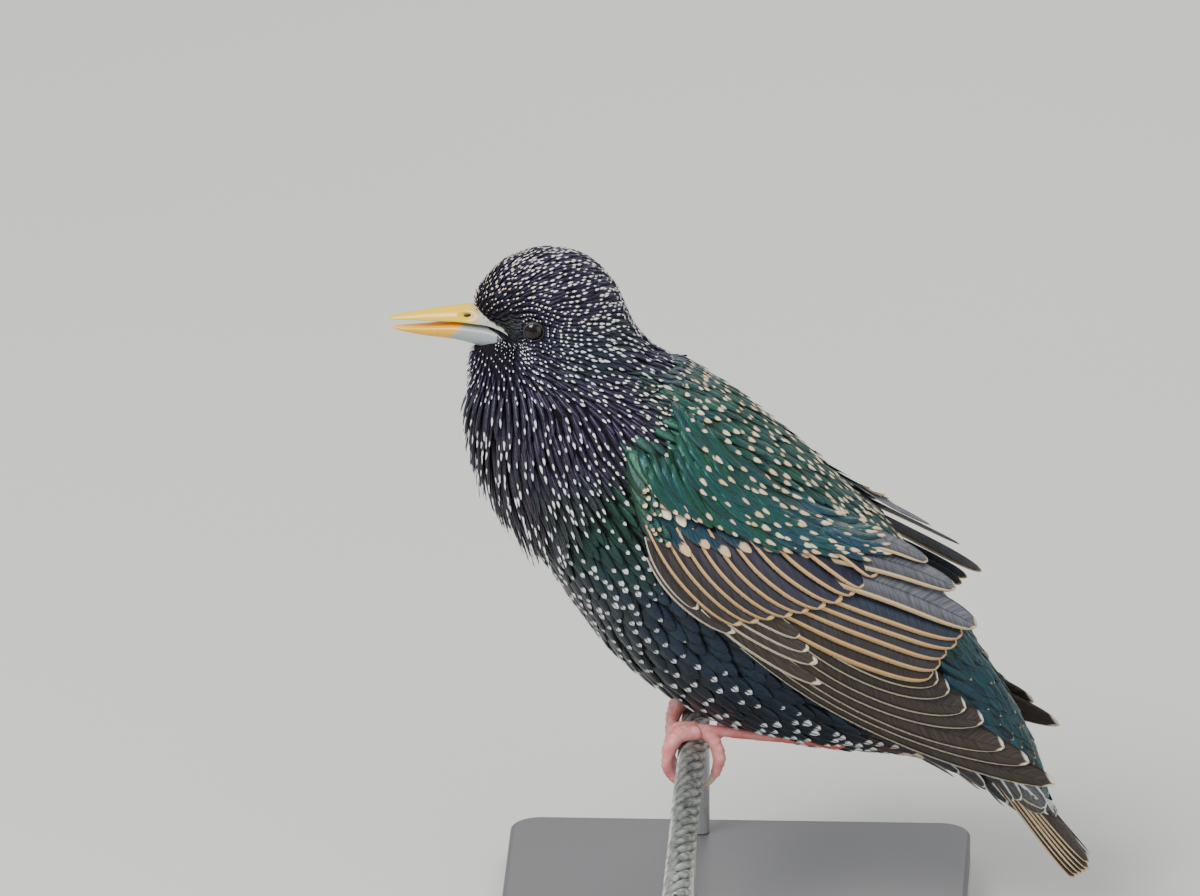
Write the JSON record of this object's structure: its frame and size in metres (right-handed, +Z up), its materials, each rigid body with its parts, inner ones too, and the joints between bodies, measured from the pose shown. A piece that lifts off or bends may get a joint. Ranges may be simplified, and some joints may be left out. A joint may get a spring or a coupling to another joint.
{
  "type": "starling on a wire rope perch",
  "caption": "Life-size still model of a starling in spotted autumn plumage, gripping a cut length of wire rope on a plain stand.",
  "frame": {"origin": "middle of the flat underside of the stand's base", "axes": "+Z up, -X the way the bird faces, -Y to the bird's left, with the wire rope along Y"},
  "size_m": [0.1747, 0.172, 0.1788],
  "materials": {
    "plumage": "black body feathers with green and purple gloss, cream and white spots",
    "flight_feather": "grey-brown feathers with narrow buff edges",
    "bill": "yellow horn, blue-grey at the base of the lower half",
    "eye": "wet, near-black brown",
    "leg_skin": "scaled reddish-pink skin",
    "claw": "horn",
    "rope_steel": "dull galvanised wires",
    "rod_steel": "satin",
    "stand_paint": "satin dark grey paint"
  },
  "bodies": {
    "root": {"head": "plumage", "neck": "plumage", "torso": "plumage", "thigh_left": "plumage", "thigh_right": "plumage", "tail": "flight_feather", "wing_left": "flight_feather", "wing_right": "flight_feather", "bill_upper": "bill", "bill_lower": "bill", "eye_left": "eye", "eye_right": "eye", "tarsus_left": "leg_skin", "tarsus_right": "leg_skin", "foot_left": "leg_skin", "foot_right": "leg_skin", "claw_front_1_left": "claw", "claw_front_2_left": "claw", "claw_front_3_left": "claw", "claw_rear_left": "claw", "claw_front_1_right": "claw", "claw_front_2_right": "claw", "claw_front_3_right": "claw", "claw_rear_right": "claw", "perch_rope": "rope_steel", "stand_rod_front": "rod_steel", "stand_rod_back": "rod_steel", "stand_base": "stand_paint"}
  },
  "joints": []
}
